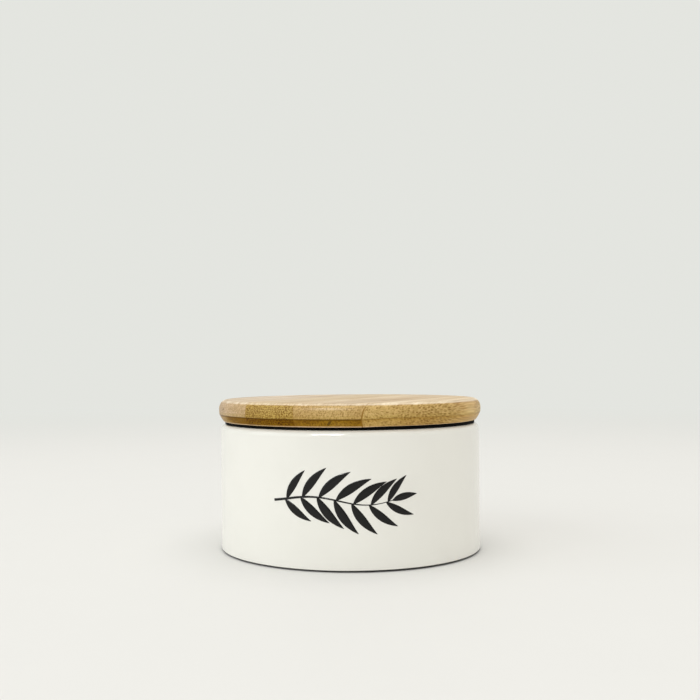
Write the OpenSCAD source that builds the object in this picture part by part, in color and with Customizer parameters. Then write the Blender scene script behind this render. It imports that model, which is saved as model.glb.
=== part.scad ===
// Round ceramic salt box with a laminated bamboo lid on a steel hinge.
// Origin: centre of the foot ring, on the surface that the pot stands on.
// +Z is up, the front looks along -Y, and the hinge is at the back, on the +Y side.

/* [Pot] */
// Outside diameter of the pot
pot_d = 108; // [98:0.5:130]
// Height of the rim above the surface that the pot stands on
rim_h = 52.2; // [44:0.1:64]
// Thickness of the side wall
wall = 5; // [4:0.1:6]
// Thickness of the floor above the foot recess
floor_t = 4.2; // [3.5:0.1:6]
// Depth of the recess inside the foot ring
foot_recess = 2.5; // [1.5:0.1:3]
// Width of the ring that the pot stands on
foot_w = 6.5; // [4:0.1:9]
// Radius of the rounded edge between the side and the foot ring
foot_round = 1.5; // [0.8:0.1:3]
// Radius of the rounded shoulder on the outside of the rim
shoulder_round = 2.4; // [1.5:0.1:2.7]
// Radius of the rounded edge on the inside of the rim
rim_round = 1; // [0.5:0.1:1.2]
// Radius of the corner between the inside wall and the floor
cavity_round = 6; // [3:0.5:12]

/* [Lid] */
// Thickness of the lid's board
lid_t = 8.9; // [8:0.1:12]
// How far the board reaches past the pot's side
lid_overhang = 0.7; // [0:0.1:1.5]
// Radius of the rounded top edge
lid_round = 3.2; // [1.5:0.1:4]
// Width of the chamfer under the edge
chamfer_w = 2.9; // [1.5:0.1:3]
// Height of the chamfer under the edge
chamfer_h = 3.2; // [1.5:0.1:3.6]
// Height of the plug under the board
plug_h = 4; // [3.4:0.1:6]
// Space between the plug and the inside wall
plug_gap = 2.6; // [2:0.1:3.5]
// Height of the plug's lip, which holds the seal up in its groove
plug_lip_h = 1.2; // [0.8:0.1:1.4]
// Depth of the seal's groove in the plug
groove_depth = 1.2; // [0.6:0.1:2]

/* [Seal] */
// Thickness of the flange between the rim and the board
seal_t = 0.8; // [0.6:0.1:1.2]
// How far the flange's edge stays inside the flat land of the rim
seal_inset = 0.2; // [0:0.1:0.6]
// How far the seal's band stands out of its groove
band_proud = 0.8; // [0.4:0.1:1.2]
// Space between the seal's lip and the inside wall
seal_gap = 0.4; // [0.3:0.1:0.8]
// Thickness of the seal's lip at its edge
seal_lip_t = 0.6; // [0.4:0.1:0.9]

/* [Hinge] */
// Width of the hinge
hinge_w = 20; // [17:0.5:26]
// Thickness of the leaves
leaf_t = 1; // [0.8:0.1:1.2]
// Radius of the pin
pin_r = 1.2; // [1:0.05:1.5]
// Width of the knuckle in the middle, which is the lid's
mid_knuckle_w = 7.6; // [6:0.1:9]
// Gap between knuckles
knuckle_gap = 0.2; // [0.1:0.05:0.3]
// Space between a leaf's edge and the other leaf's knuckles
notch_gap = 0.3; // [0.3:0.05:0.6]
// Radial clearance of the pin in the knuckle that turns
pin_running = 0.05; // [0.02:0.01:0.1]
// Radial clearance of the pin, screws and nuts where they don't turn
still_fit = 0.02; // [0.01:0.01:0.05]
// Height and radius of the pin's heads
pin_head_h = 0.7; // [0.5:0.1:1]
pin_head_r = 1.8; // [1.6:0.1:2.1]
// How far the pot's leaf reaches below the pin
pot_leaf_drop = 16.6; // [15.5:0.1:20]
// How far the lid's leaf stays below the lid's top
lid_leaf_inset = 1.1; // [0.9:0.1:1.4]
// Radius of the leaves' outer corners
leaf_corner = 1.5; // [0.5:0.1:2]
// Thickness of the soft pad between the pot and its leaf
pad_t = 0.6; // [0.4:0.1:1]
// How much wider the flats are than the hinge, on each side
flat_margin = 3.8; // [2:0.1:5]
// Angle at which the open lid rests on the stops
open_angle = 105; // [95:1:115]
// Width, thickness and reach of the two stops on the pot's knuckles
stop_w = 3; // [1.5:0.1:4]
stop_t = 1.6; // [1.2:0.1:2]
stop_reach = 4; // [3.4:0.1:4.6]
// Space between a stop and the lid's leaf when the lid is fully open
stop_gap = 0.1; // [0.05:0.05:0.3]

/* [Fasteners] */
// Distance between the two screws of a leaf
screw_spacing = 12; // [11:0.1:14]
// Radius of the screws through the pot, and of their countersunk heads
pot_screw_r = 1.5; // [1.25:0.05:1.5]
pot_head_r = 2.75; // [2.5:0.05:2.75]
// How far the screws through the pot are below the pin
pot_screw_drop = 11.4; // [11:0.1:12.5]
// Radius of the holes through the pot's wall, for those screws
pot_hole_r = 1.9; // [1.8:0.05:2.2]
// How far a screw reaches into its nut
nut_grip = 4.4; // [3:0.1:4.6]
// Radius of the lid's wood screws, and of their countersunk heads
lid_screw_r = 1.1; // [1:0.05:1.2]
lid_head_r = 2.1; // [1.9:0.05:2.2]
// Length of the lid's wood screws, from the top of the head
lid_screw_len = 11; // [8:0.5:14]
// Length of their points
screw_point = 2.5; // [1.5:0.1:3]
// Radius of the washers
washer_r = 3.5; // [3.3:0.1:3.8]
// Thickness of the soft washers, which lie against the glaze
soft_washer_t = 1; // [0.6:0.1:1.5]
// Thickness of the steel washers
steel_washer_t = 0.6; // [0.4:0.1:0.8]
// Width across the flats of the acorn nuts
nut_flats = 5.5; // [5:0.1:6]
// Height of the nuts' six-sided part
nut_hex_h = 2.4; // [2:0.1:3]
// Whole height of the nuts
nut_h = 6; // [5.6:0.1:7]
// Radius of the nuts' domes
dome_r = 2.5; // [2.3:0.1:2.6]
// Depth of the thread in the nuts
nut_thread = 4.8; // [4.6:0.1:5.2]
// Width across the flats and depth of the hexagon sockets
socket_flats = 2; // [1.5:0.1:2.2]
socket_depth = 0.8; // [0.5:0.1:1]
// Width, length and depth of the cross recess in the wood screws
cross_w = 0.5; // [0.4:0.05:0.7]
cross_len = 2.4; // [1.8:0.1:2.8]
cross_depth = 0.6; // [0.4:0.1:0.8]
// Margin round the washers on their flat land inside the pot
land_margin = 0.4; // [0.2:0.1:0.8]
// How far that land reaches above and below the washers
land_reach = 2; // [1:0.1:3]

/* [Hidden] */
$fn = 96;
// How far a cutting shape runs past the face that it cuts
over = 1;
hex_sides = 6;

glaze = "#e9e6dc";
bamboo = "#c79a5a";
silicone = "#141414";
steel = "#b4b4b0";

pot_r = pot_d / 2;
inner_r = pot_r - wall;
floor_z = foot_recess + floor_t;
land_r = pot_r - shoulder_round;

lid_z = rim_h + seal_t;
lid_top = lid_z + lid_t;
lid_r = pot_r + lid_overhang;
plug_r = inner_r - plug_gap;
groove_r = plug_r - groove_depth;
plug_z = lid_z - plug_h;
groove_z = plug_z + plug_lip_h;

// The flats behind the hinge are chords of the pot and of the lid.
flat_half = hinge_w / 2 + flat_margin;
pot_flat_y = sqrt(pot_r * pot_r - flat_half * flat_half);
leaf_y = pot_flat_y + pad_t;
leaf_face_y = leaf_y + leaf_t;

// A leaf rolled round the pin makes a barrel that touches the leaf's own plane.
barrel_r = pin_r + leaf_t;
axis_y = leaf_y + barrel_r;
axis_z = rim_h + seal_t / 2;
notch_drop = barrel_r + notch_gap;
side_knuckle_w = (hinge_w - mid_knuckle_w) / 2 - knuckle_gap;
pot_leaf_h = pot_leaf_drop - notch_drop;
lid_leaf_z = axis_z + notch_drop;
lid_leaf_h = lid_top - lid_leaf_inset - lid_leaf_z;

screw_x = screw_spacing / 2;
pot_screw_z = axis_z - pot_screw_drop;
lid_screw_z = lid_leaf_z + lid_leaf_h / 2;

// The washers sit on a chord of the inside wall, as wide as they need.
nut_land_half = screw_x + washer_r + land_margin;
nut_land_y = sqrt(inner_r * inner_r - nut_land_half * nut_land_half);
nut_land_z = pot_screw_z - washer_r - land_reach;
nut_land_h = 2 * (washer_r + land_reach);
steel_washer_y = nut_land_y - soft_washer_t;
nut_y = steel_washer_y - steel_washer_t;
pot_screw_len = leaf_face_y - nut_y + nut_grip;

// Half outline of a disc, standing on the X axis, with rounded outer edges.
module half_disc(r, h, top, bottom) {
    translate([0, bottom]) square([r, h - top - bottom]);
    translate([0, bottom]) square([r - top, h - bottom]);
    square([r - bottom, h - top]);
    if (top > 0) translate([r - top, h - top]) circle(top);
    if (bottom > 0) translate([r - bottom, bottom]) circle(bottom);
}

// What a rounded inner rim edge leaves out of a square one.
module rim_corner() {
    difference() {
        translate([inner_r - over, rim_h - rim_round]) square(rim_round + over);
        translate([inner_r + rim_round, rim_h - rim_round]) circle(rim_round);
    }
}

module pot_profile() {
    difference() {
        half_disc(pot_r, rim_h, shoulder_round, foot_round);
        translate([0, floor_z]) half_disc(inner_r, rim_h - floor_z + over, 0, cavity_round);
        translate([0, -over]) square([pot_r - foot_round - foot_w, foot_recess + over]);
        rim_corner();
    }
}

// Flat land for the washers, on the inside of the back wall.
module nut_land() {
    intersection() {
        translate([-nut_land_half, nut_land_y, nut_land_z])
            cube([2 * nut_land_half, wall, nut_land_h]);
        translate([0, 0, nut_land_z]) cylinder(r = inner_r + wall / 2, h = nut_land_h);
    }
}

// Everything behind the plane y, to cut a flat on something of this height.
module behind(y, z, h) {
    translate([-pot_d / 2, y, z]) cube([pot_d, pot_d / 2, h]);
}

// Turns a child that points up so that it points from the leaves into the pot.
module into_back(x, y, z) {
    translate([x, y, z]) rotate([90, 0, 0]) children();
}

module pot() {
    color(glaze) difference() {
        union() {
            rotate_extrude() pot_profile();
            nut_land();
        }
        behind(pot_flat_y, -over, rim_h + 2 * over);
        for (side = [-1, 1])
            into_back(side * screw_x, pot_flat_y + over, pot_screw_z)
                cylinder(r = pot_hole_r, h = pot_flat_y - nut_land_y + 2 * over);
    }
}

module lid_profile() {
    translate([0, chamfer_h]) square([lid_r, lid_t - chamfer_h - lid_round]);
    translate([0, chamfer_h]) square([lid_r - lid_round, lid_t - chamfer_h]);
    translate([lid_r - lid_round, lid_t - lid_round]) circle(lid_round);
    polygon([[0, 0], [lid_r - chamfer_w, 0], [lid_r, chamfer_h], [0, chamfer_h]]);
}

module lid_board() {
    color(bamboo) difference() {
        translate([0, 0, lid_z]) rotate_extrude() lid_profile();
        behind(leaf_y, lid_z - over, lid_t + 2 * over);
        for (side = [-1, 1])
            into_back(side * screw_x, leaf_y + over, lid_screw_z)
                cylinder(r = lid_screw_r + still_fit, h = lid_screw_len + over);
    }
}

module lid_plug() {
    color(bamboo) translate([0, 0, plug_z]) {
        cylinder(r = plug_r, h = plug_lip_h);
        cylinder(r = groove_r, h = plug_h);
    }
}

// The band fills the groove, the flange lies on the rim and the lip reaches for the wall.
module seal_ring() {
    band_r = plug_r + band_proud;
    lip_r = inner_r - seal_gap;
    in_r = groove_r + still_fit;
    color(silicone) rotate_extrude() {
        translate([in_r, groove_z]) square([band_r - in_r, lid_z - groove_z]);
        translate([in_r, rim_h]) square([land_r - seal_inset - in_r, seal_t]);
        polygon([
            [in_r, groove_z],
            [band_r, groove_z],
            [lip_r, groove_z + seal_lip_t],
            [lip_r, groove_z + 2 * seal_lip_t],
            [in_r, groove_z + 2 * seal_lip_t]
        ]);
    }
}

// Outline of a leaf with its two lower corners rounded.
module leaf_outline(h) {
    translate([-hinge_w / 2, leaf_corner]) square([hinge_w, h - leaf_corner]);
    translate([leaf_corner - hinge_w / 2, 0]) square([hinge_w - 2 * leaf_corner, h]);
    for (side = [-1, 1])
        translate([side * (hinge_w / 2 - leaf_corner), leaf_corner]) circle(leaf_corner);
}

// A knuckle with the strap that joins it to the leaf below it.
module knuckle(x, w, strap) {
    translate([x, axis_y, axis_z]) rotate([0, 90, 0]) cylinder(r = barrel_r, h = w);
    translate([x, leaf_y, axis_z - strap]) cube([w, leaf_t, strap]);
}

module pin_bore(clearance) {
    translate([-hinge_w, axis_y, axis_z]) rotate([0, 90, 0])
        cylinder(r = pin_r + clearance, h = 2 * hinge_w);
}

// Countersunk holes in a leaf, cut from its outer face.
module leaf_holes(head_r, z) {
    for (side = [-1, 1])
        into_back(side * screw_x, leaf_face_y, z)
            cylinder(r1 = head_r + still_fit, r2 = head_r - leaf_t + still_fit, h = leaf_t);
}

// A nose that lies under the lid's leaf when the lid is fully open.
module stop(x) {
    translate([x, axis_y, axis_z]) rotate([-open_angle, 0, 0])
        translate([0, stop_gap - pin_r, 0]) cube([stop_w, stop_t, stop_reach]);
}

module hinge_leaf_pot() {
    strap = notch_drop + leaf_t;
    color(steel) difference() {
        union() {
            into_back(0, leaf_face_y, axis_z - pot_leaf_drop)
                linear_extrude(leaf_t) leaf_outline(pot_leaf_h);
            knuckle(-hinge_w / 2, side_knuckle_w, strap);
            knuckle(hinge_w / 2 - side_knuckle_w, side_knuckle_w, strap);
            stop(-hinge_w / 2);
            stop(hinge_w / 2 - stop_w);
        }
        pin_bore(still_fit);
        leaf_holes(pot_head_r, pot_screw_z);
    }
}

module hinge_leaf_lid() {
    color(steel) difference() {
        union() {
            translate([0, 0, 2 * axis_z]) mirror([0, 0, 1])
                into_back(0, leaf_face_y, axis_z - notch_drop - lid_leaf_h)
                    linear_extrude(leaf_t) leaf_outline(lid_leaf_h);
            translate([0, 0, 2 * axis_z]) mirror([0, 0, 1])
                knuckle(-mid_knuckle_w / 2, mid_knuckle_w, notch_drop + leaf_t);
        }
        pin_bore(pin_running);
        leaf_holes(lid_head_r, lid_screw_z);
    }
}

module hinge_pin() {
    color(steel) {
        translate([-hinge_w / 2, axis_y, axis_z]) rotate([0, 90, 0])
            cylinder(r = pin_r, h = hinge_w);
        for (side = [-1, 1])
            translate([side * hinge_w / 2, axis_y, axis_z]) rotate([0, side * 90, 0])
                cylinder(r1 = pin_head_r, r2 = pin_r, h = pin_head_h);
    }
}

module hinge_pad() {
    color(silicone) difference() {
        into_back(0, leaf_y, axis_z - pot_leaf_drop)
            linear_extrude(pad_t) leaf_outline(pot_leaf_h);
        for (side = [-1, 1])
            into_back(side * screw_x, leaf_y + over, pot_screw_z)
                cylinder(r = pot_hole_r, h = pad_t + 2 * over);
    }
}

// A countersunk head and its shank, standing on the head's flat face.
module screw_blank(shank_r, head_r, len) {
    cylinder(r1 = head_r, r2 = shank_r, h = head_r - shank_r);
    cylinder(r = shank_r, h = len);
}

module pot_screw(side) {
    color(steel) into_back(side * screw_x, leaf_face_y, pot_screw_z) difference() {
        screw_blank(pot_screw_r, pot_head_r, pot_screw_len);
        translate([0, 0, -over])
            cylinder(d = socket_flats / cos(180 / hex_sides), h = socket_depth + over, $fn = hex_sides);
    }
}

module lid_screw(side) {
    color(steel) into_back(side * screw_x, leaf_face_y, lid_screw_z) difference() {
        union() {
            screw_blank(lid_screw_r, lid_head_r, lid_screw_len - screw_point);
            translate([0, 0, lid_screw_len - screw_point])
                cylinder(r1 = lid_screw_r, r2 = still_fit, h = screw_point);
        }
        for (turn = [0, 90])
            rotate([0, 0, turn]) translate([-cross_len / 2, -cross_w / 2, -over])
                cube([cross_len, cross_w, cross_depth + over]);
    }
}

// A washer on a pot screw, with its face against the pot's side at y.
module washer(side, y, t, hole_r) {
    into_back(side * screw_x, y, pot_screw_z) difference() {
        cylinder(r = washer_r, h = t);
        translate([0, 0, -over]) cylinder(r = hole_r, h = t + 2 * over);
    }
}

module soft_washer(side) {
    color(silicone) washer(side, nut_land_y, soft_washer_t, pot_screw_r + still_fit);
}

module steel_washer(side) {
    color(steel) washer(side, steel_washer_y, steel_washer_t, pot_screw_r + still_fit);
}

module acorn_nut(side) {
    color(steel) into_back(side * screw_x, nut_y, pot_screw_z) difference() {
        union() {
            cylinder(d = nut_flats / cos(180 / hex_sides), h = nut_hex_h, $fn = hex_sides);
            cylinder(r = dome_r, h = nut_h - dome_r);
            translate([0, 0, nut_h - dome_r]) sphere(dome_r);
        }
        translate([0, 0, -over]) cylinder(r = pot_screw_r + still_fit, h = nut_thread + over);
    }
}

pot();
lid_board();
lid_plug();
seal_ring();
hinge_leaf_pot();
hinge_leaf_lid();
hinge_pin();
hinge_pad();
pot_screw(-1);  // pot_screw_left
pot_screw(1);  // pot_screw_right
lid_screw(-1);  // lid_screw_left
lid_screw(1);  // lid_screw_right
soft_washer(-1);  // soft_washer_left
soft_washer(1);  // soft_washer_right
steel_washer(-1);  // steel_washer_left
steel_washer(1);  // steel_washer_right
acorn_nut(-1);  // acorn_nut_left
acorn_nut(1);  // acorn_nut_right
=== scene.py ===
import math
import bmesh
import bpy
from mathutils import Matrix, Vector, noise


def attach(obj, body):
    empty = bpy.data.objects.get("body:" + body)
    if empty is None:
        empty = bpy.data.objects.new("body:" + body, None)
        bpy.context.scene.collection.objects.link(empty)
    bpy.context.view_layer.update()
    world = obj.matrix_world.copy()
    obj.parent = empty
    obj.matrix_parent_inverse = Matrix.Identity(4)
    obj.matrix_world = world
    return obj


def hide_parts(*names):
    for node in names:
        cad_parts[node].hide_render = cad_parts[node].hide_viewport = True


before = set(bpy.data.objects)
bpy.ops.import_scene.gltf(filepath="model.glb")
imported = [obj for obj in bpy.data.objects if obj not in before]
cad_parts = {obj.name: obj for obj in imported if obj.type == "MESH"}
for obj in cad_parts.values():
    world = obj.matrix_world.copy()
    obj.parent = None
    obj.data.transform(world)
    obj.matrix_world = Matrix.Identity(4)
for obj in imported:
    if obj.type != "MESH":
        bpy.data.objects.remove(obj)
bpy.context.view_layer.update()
mm = 0.001


def addObject(name, data):
    made = bpy.data.objects.new(name, data)
    bpy.context.scene.collection.objects.link(made)
    return made


# Camera: placed as the photograph was taken, from in front and a little above the lid.
camera = {
    "place": (0.0, -0.40139, 0.07628),
    "turnLeft": 2.576,      # degrees
    "tiltUp": 0.879,
    "roll": -0.552,
    "sensor": 36.0,
    "lens": 48.72,
    "shift": 0.0632,
}


def makeCamera():
    data = bpy.data.cameras.new("camera")
    data.sensor_width = camera["sensor"]
    data.lens = camera["lens"]
    data.shift_x = camera["shift"]
    data.clip_start = 0.01
    eye = addObject("camera", data)
    turn = Matrix.Rotation(math.radians(camera["turnLeft"]), 4, "Z")
    tilt = Matrix.Rotation(math.radians(90 + camera["tiltUp"]), 4, "X")
    roll = Matrix.Rotation(math.radians(camera["roll"]), 4, "Z")
    eye.matrix_world = Matrix.Translation(camera["place"]) @ turn @ tilt @ roll
    bpy.context.scene.camera = eye
    bpy.context.scene.view_settings.view_transform = "Standard"


makeCamera()
print("camera placed")


# Node helpers: a dictionary gives a node's inputs, by name or number, as values or as sockets.
def plug(tree, inputs, values):
    for name, value in values.items():
        if isinstance(value, bpy.types.NodeSocket):
            tree.links.new(value, inputs[name])
        else:
            inputs[name].default_value = value


def addNode(tree, kind, inputs=None, **settings):
    node = tree.nodes.new("ShaderNode" + kind)
    for name, value in settings.items():
        setattr(node, name, value)
    plug(tree, node.inputs, inputs or {})
    return node


def calc(tree, operation, a, b=0.0):
    return addNode(tree, "Math", {0: a, 1: b}, operation=operation).outputs[0]


def times(tree, a, b):
    return calc(tree, "MULTIPLY", a, b)


def invert(tree, share):
    return calc(tree, "SUBTRACT", 1.0, share)


def vectorCalc(tree, operation, a, b=(0, 0, 0)):
    outputs = addNode(tree, "VectorMath", {0: a, 1: b}, operation=operation).outputs
    return outputs["Value" if operation in ("LENGTH", "DOT_PRODUCT") else "Vector"]


def turned(tree, vector, angle, axis="Z_AXIS"):
    inputs = {"Vector": vector, "Angle": angle}
    return addNode(tree, "VectorRotate", inputs, rotation_type=axis).outputs[0]


def axes(tree, vector):
    return addNode(tree, "SeparateXYZ", {0: vector}).outputs


def remap(tree, value, low, high, outLow=0.0, outHigh=1.0):
    inputs = {0: value, 1: low, 2: high, 3: outLow, 4: outHigh}
    return addNode(tree, "MapRange", inputs, interpolation_type="SMOOTHSTEP").outputs[0]


# The same, with its limits in millimetres.
def fade(tree, value, limits, outLow=0.0, outHigh=1.0):
    return remap(tree, value, limits[0] * mm, limits[1] * mm, outLow, outHigh)


def opaque(color):
    return (*color, 1) if isinstance(color, tuple) else color


def mixColor(tree, factor, a, b, blend="MIX"):
    inputs = {0: factor, 6: opaque(a), 7: opaque(b)}
    return addNode(tree, "Mix", inputs, data_type="RGBA", blend_type=blend).outputs[2]


def tint(tree, factor, color, tone):
    return mixColor(tree, factor, color, tone, "MULTIPLY")


def ramp(tree, value, *stops):
    node = addNode(tree, "ValToRGB", {0: value})
    while len(node.color_ramp.elements) < len(stops):
        node.color_ramp.elements.new(0.5)
    for element, (place, color) in zip(node.color_ramp.elements, stops):
        element.position = place
        element.color = opaque(color)
    return node.outputs[0]


def noiseTexture(tree, vector, scale, detail, rough=0.5):
    inputs = {"Vector": vector, "Scale": scale, "Detail": detail, "Roughness": rough}
    return addNode(tree, "TexNoise", inputs).outputs[0]


def spread(tree, vector, scale):
    return addNode(tree, "Mapping", {"Vector": vector, "Scale": scale}).outputs[0]


# Noise that is finer along some axes than along others.
def streaks(tree, vector, scale, detail, rough=0.5):
    return noiseTexture(tree, spread(tree, vector, scale), 1.0, detail, rough)


def bump(tree, height, distance, strength):
    inputs = {"Height": height, "Distance": distance, "Strength": strength}
    return addNode(tree, "Bump", inputs).outputs[0]


def newGroup(name, inputs, outputs):
    tree = bpy.data.node_groups.new(name, "ShaderNodeTree")
    for label, kind, value in inputs:
        socket = tree.interface.new_socket(label, in_out="INPUT", socket_type="NodeSocket" + kind)
        if value is not None:
            socket.default_value = value
    for label, kind in outputs:
        tree.interface.new_socket(label, in_out="OUTPUT", socket_type="NodeSocket" + kind)
    return tree, tree.nodes.new("NodeGroupInput").outputs, tree.nodes.new("NodeGroupOutput").inputs


def useGroup(tree, group, inputs):
    return addNode(tree, "Group", inputs, node_tree=group).outputs


def newMaterial(name):
    made = bpy.data.materials.new(name)
    made.use_nodes = True
    tree = made.node_tree
    shader = tree.nodes["Principled BSDF"]
    where = addNode(tree, "TexCoord").outputs["Object"]
    return made, tree, shader.inputs, where


# Handling marks: faint smears and finer dust, for every finish that is touched.
def handlingGroup():
    tree, given, out = newGroup(
        "handling",
        [("Vector", "Vector", None), ("Size", "Float", 0.02), ("Dust", "Float", 0.5)],
        [("Smear", "Float"), ("Specks", "Float")],
    )
    scale = calc(tree, "DIVIDE", 1.0, given["Size"])
    bent = noiseTexture(tree, given["Vector"], scale, 3.0, 0.6)
    smear = remap(tree, bent, 0.42, 0.68)
    fine = addNode(tree, "TexVoronoi", {"Vector": given["Vector"], "Scale": 900.0}).outputs["Distance"]
    few = noiseTexture(tree, given["Vector"], 260.0, 1.0)
    speck = times(tree, remap(tree, fine, 0.16, 0.05), remap(tree, few, 0.56, 0.7))
    tree.links.new(smear, out["Smear"])
    tree.links.new(times(tree, speck, given["Dust"]), out["Specks"])
    return tree


# Bamboo: bundles that run along the fibre, so that they are dots where it is cut across.
def bambooGroup():
    tree, given, out = newGroup(
        "bamboo fibre",
        [
            ("Vector", "Vector", None),
            ("Across", "Float", 0.0),
            ("Tone", "Float", 0.5),
            ("Coarse", "Float", 0.5),
            ("Side", "Float", 0.0),
        ],
        [("Color", "Color"), ("Height", "Float"), ("Dark", "Float")],
    )
    grain = given["Vector"]
    wander = addNode(tree, "TexNoise", {"Vector": spread(tree, grain, (90, 10, 90)), "Scale": 1.0})
    sway = vectorCalc(tree, "SUBTRACT", wander.outputs["Color"], (0.5, 0.5, 0.5))
    line = vectorCalc(tree, "ADD", grain, vectorCalc(tree, "MULTIPLY", sway, (0.0018, 0.0, 0.0018)))
    cells = {"Vector": spread(tree, line, (1400, 16, 1400)), "Scale": 1.0, "Randomness": 0.6}
    bundles = addNode(tree, "TexVoronoi", cells).outputs["Distance"]
    fibres = streaks(tree, line, (1700, 26, 1700), 2.0, 0.6)
    bands = streaks(tree, line, (330, 5, 170), 3.0, 0.6)
    threads = streaks(tree, line, (860, 11, 860), 2.0)
    wide = streaks(tree, grain, (75, 7, 60), 2.0)
    dots = times(tree, remap(tree, bundles, 0.56, 0.24), remap(tree, bands, 0.28, 0.6, 0.7, 1.0))
    dots = times(tree, dots, given["Coarse"])
    # Sawn along the fibre: long pale streaks, with painted shade that makes the side yellower than the
    # sanded top.
    along = ramp(tree, given["Tone"], (0.0, (0.64, 0.52, 0.38)), (0.5, (0.66, 0.52, 0.335)),
                 (1.0, (0.60, 0.46, 0.27)))
    # Painted shade: the side faces are tinted yellower and darker than the top.
    sideShade = times(tree, given["Side"], remap(tree, given["Tone"], 0.0, 0.35))
    for share, tone in (
        (remap(tree, bands, 0.34, 0.64), (0.74, 0.65, 0.52)),
        (remap(tree, threads, 0.53, 0.60, 0.0, 0.8), (0.78, 0.67, 0.48)),
        (remap(tree, wide, 0.4, 0.62, 0.0, 0.8), (1.2, 1.24, 1.3)),
        (remap(tree, fibres, 0.44, 0.6, 0.0, 0.8), (1.24, 1.30, 1.45)),
        (times(tree, dots, 0.8), (0.72, 0.58, 0.36)),
        (sideShade, (1.0, 0.90, 0.60)),
    ):
        along = tint(tree, share, along, tone)
    # Sawn across: golden, with a brown dot for each bundle.
    cut = ramp(tree, given["Tone"], (0.0, (0.475, 0.333, 0.191)), (0.5, (0.54, 0.36, 0.125)),
               (1.0, (0.45, 0.295, 0.068)))
    for share, tone in (
        (remap(tree, wide, 0.35, 0.7, 0.0, 0.7), (0.82, 0.76, 0.66)),
        (remap(tree, fibres, 0.42, 0.62, 0.0, 0.75), (1.35, 1.4, 1.7)),
        (dots, (0.40, 0.29, 0.08)),
    ):
        cut = tint(tree, share, cut, tone)
    color = mixColor(tree, given["Across"], along, cut)
    dark = times(tree, dots, given["Across"])
    height = calc(tree, "SUBTRACT", times(tree, fibres, 0.6), times(tree, dots, 0.5))
    tree.links.new(color, out["Color"])
    tree.links.new(height, out["Height"])
    tree.links.new(dark, out["Dark"])
    return tree


handling = handlingGroup()
bambooFibre = bambooGroup()


# Glaze: warm white and glossy, and wiped off the ring that it stands on.
glazeLook = {
    "thin": (0.84, 0.83, 0.775),
    "thick": (0.86, 0.85, 0.795),
    # The bare ring is far darker than clay: painted shade for the contact shadow under the foot.
    "bareClayShade": (0.05, 0.042, 0.034),
    "bareClayShadeRight": (0.014, 0.011, 0.01),      # painted shadow, darker still where the ring is wider
    "dust": (0.35, 0.28, 0.2),
    "rough": 0.045,
}


def glazeMaterial():
    look = glazeLook
    made, tree, shader, where = newMaterial("glaze")
    marks = useGroup(tree, handling, {"Vector": where, "Size": 0.03, "Dust": 0.3})
    right, _, height = axes(tree, where)
    wider = fade(tree, right, pot["footWider"])
    level = calc(tree, "SUBTRACT", height, times(tree, wider, pot["footLift"] * mm))
    cloud = noiseTexture(tree, where, 45.0, 3.0)
    color = mixColor(tree, remap(tree, cloud, 0.3, 0.7), look["thin"], look["thick"])
    edge = pot["footStep"] * mm
    bare = remap(tree, level, edge + 0.00006, edge + 0.00001)
    # Bare ring in a dark colour that paints the foot's contact shadow, darker on the right.
    bareClayShade = mixColor(tree, wider, look["bareClayShade"], look["bareClayShadeRight"])
    color = mixColor(tree, bare, color, bareClayShade)
    color = mixColor(tree, times(tree, marks["Specks"], 0.35), color, look["dust"])
    gloss = calc(tree, "ADD", times(tree, marks["Smear"], 0.05), look["rough"])
    rough = calc(tree, "MAXIMUM", gloss, times(tree, bare, 0.8))
    ripple = noiseTexture(tree, where, 210.0, 2.0)
    plug(tree, shader, {
        "Base Color": color, "Roughness": rough, "IOR": 1.5,
        "Normal": bump(tree, ripple, 0.00003, 0.5),
    })
    return made


# The fibre's own axes: X across the strips, Y along the fibre. Offsets keep the strips apart.
def grainAxes(tree, where, turn, offset=(0, 0, 0)):
    return vectorCalc(tree, "ADD", turned(tree, where, turn), offset)


# Where the surface cuts the fibre: 0 along it, as on the flat faces and sanded rounds, and 1 across it.
def acrossFibre(tree, turn):
    normal = addNode(tree, "TexCoord").outputs["Normal"]
    _, along, up = axes(tree, turned(tree, normal, turn))
    ends = remap(tree, calc(tree, "ABSOLUTE", along), 0.06, 0.3)
    side = remap(tree, calc(tree, "ABSOLUTE", up), 0.76, 0.62)
    return times(tree, ends, side), side


def band(tree, value, middle, half, soft):
    away = calc(tree, "ABSOLUTE", calc(tree, "SUBTRACT", value, middle))
    return remap(tree, away, half + soft, half)


stripShift = 0.07       # metres between the grain of one strip and that of the next


# What sets one strip apart from the next: written on the board's points, or repeated at equal widths.
def writtenStrips(tree):
    mark = {}
    for label in ("Tone", "Coarse", "Shift", "ChamferShade", "Shade"):
        mark[label] = addNode(tree, "Attribute", attribute_name="strip" + label).outputs["Fac"]
    return mark


def repeatedStrips(tree, across, width):
    share = calc(tree, "ADD", calc(tree, "DIVIDE", across, width), 0.4)
    cell = calc(tree, "FLOOR", share)
    chance = addNode(tree, "TexWhiteNoise", {"W": cell}, noise_dimensions="1D").outputs["Value"]
    edge = calc(tree, "ABSOLUTE", calc(tree, "SUBTRACT", share, calc(tree, "ROUND", share)))
    return {
        "Tone": chance, "Coarse": 0.7, "Shift": times(tree, cell, stripShift),
        "Shade": times(tree, chance, 0.5), "Glue": remap(tree, edge, 0.011, 0.003, 0.0, 0.5),
    }


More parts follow.
